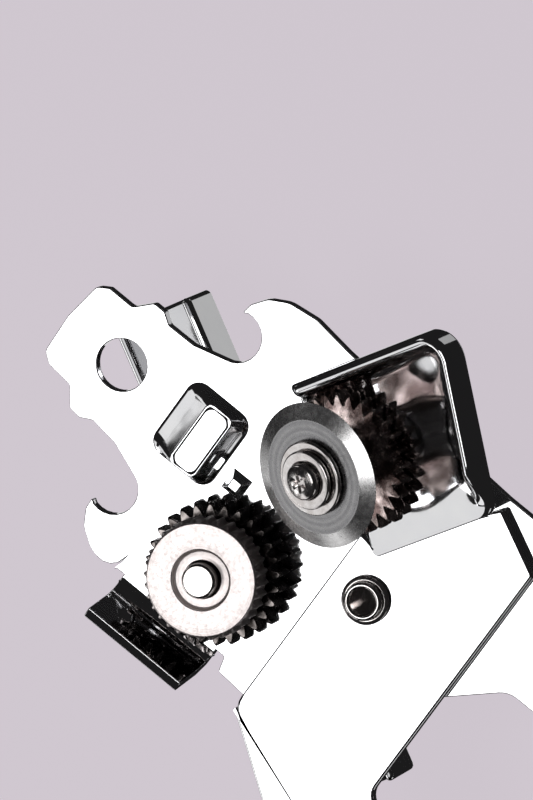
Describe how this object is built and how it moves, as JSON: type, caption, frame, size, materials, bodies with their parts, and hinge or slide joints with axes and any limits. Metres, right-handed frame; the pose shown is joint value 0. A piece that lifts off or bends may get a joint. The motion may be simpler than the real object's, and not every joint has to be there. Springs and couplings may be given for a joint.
{
  "type": "manual can opener",
  "caption": "Hand-held can opener: two hinged steel plates with handles, toothed feed wheel and crank key, tilted cutter wheel, bottle hooks and a hanging hole.",
  "frame": {"origin": "on the axis of the pivot that joins the two plates, at the flat back face of the pivot rivet's head", "axes": "+Z out of the bright front of the plates, towards the feed wheel; +Y along the rear handle towards the hanging hole; +X to the cutter's side"},
  "size_m": [0.1458, 0.2056, 0.0456],
  "materials": {
    "chrome_plate": "mirror-bright plated sheet",
    "bright_steel": "bright turned steel",
    "wheel_steel": "satin face",
    "gear_steel": "dark oiled steel",
    "cutter_steel": "ground disc with a bright bevel",
    "grip_plastic": "soft matt"
  },
  "bodies": {
    "rear": {"rear_plate": "chrome_plate", "shaft_bush": "bright_steel", "pivot_rivet": "bright_steel", "pivot_washer": "bright_steel", "rear_handle": "chrome_plate", "rear_grip": "grip_plastic", "rear_handle_rivet_1": "bright_steel", "rear_handle_rivet_2": "bright_steel"},
    "front": {"front_plate": "chrome_plate", "cutter_axle": "bright_steel", "cap_screw": "bright_steel", "hub_cap": "bright_steel", "front_handle": "chrome_plate", "front_grip": "grip_plastic", "front_handle_rivet_1": "bright_steel", "front_handle_rivet_2": "bright_steel"},
    "crank": {"drive_shaft": "bright_steel", "drive_gear": "gear_steel", "spacer_washer": "bright_steel", "feed_wheel": "wheel_steel", "thrust_washer": "bright_steel", "crank_collar": "bright_steel", "crank_key": "chrome_plate"},
    "cutter": {"cutter_wheel": "cutter_steel", "cutter_gear": "gear_steel", "spacer_sleeve": "bright_steel", "hub_flange": "bright_steel"}
  },
  "joints": [
    {"name": "front_swing", "type": "hinge", "parent": "rear", "child": "front", "pos_m": [0, 0, 0], "axis": [0, 0, 1], "range_deg": [0, 29]},
    {"name": "crank_turn", "type": "hinge", "parent": "rear", "child": "crank", "pos_m": [-0.01105, 0.02018, 0], "axis": [0, 0, 1], "continuous": true},
    {"name": "cutter_turn", "type": "hinge", "parent": "front", "child": "cutter", "pos_m": [0.01457, 0.01456, 0.01969], "axis": [-0.3525, 0.206, 0.9128], "continuous": true}
  ],
  "couplings": [
    {"joint": "cutter_turn", "follows": "crank_turn", "ratio": -1}
  ]
}
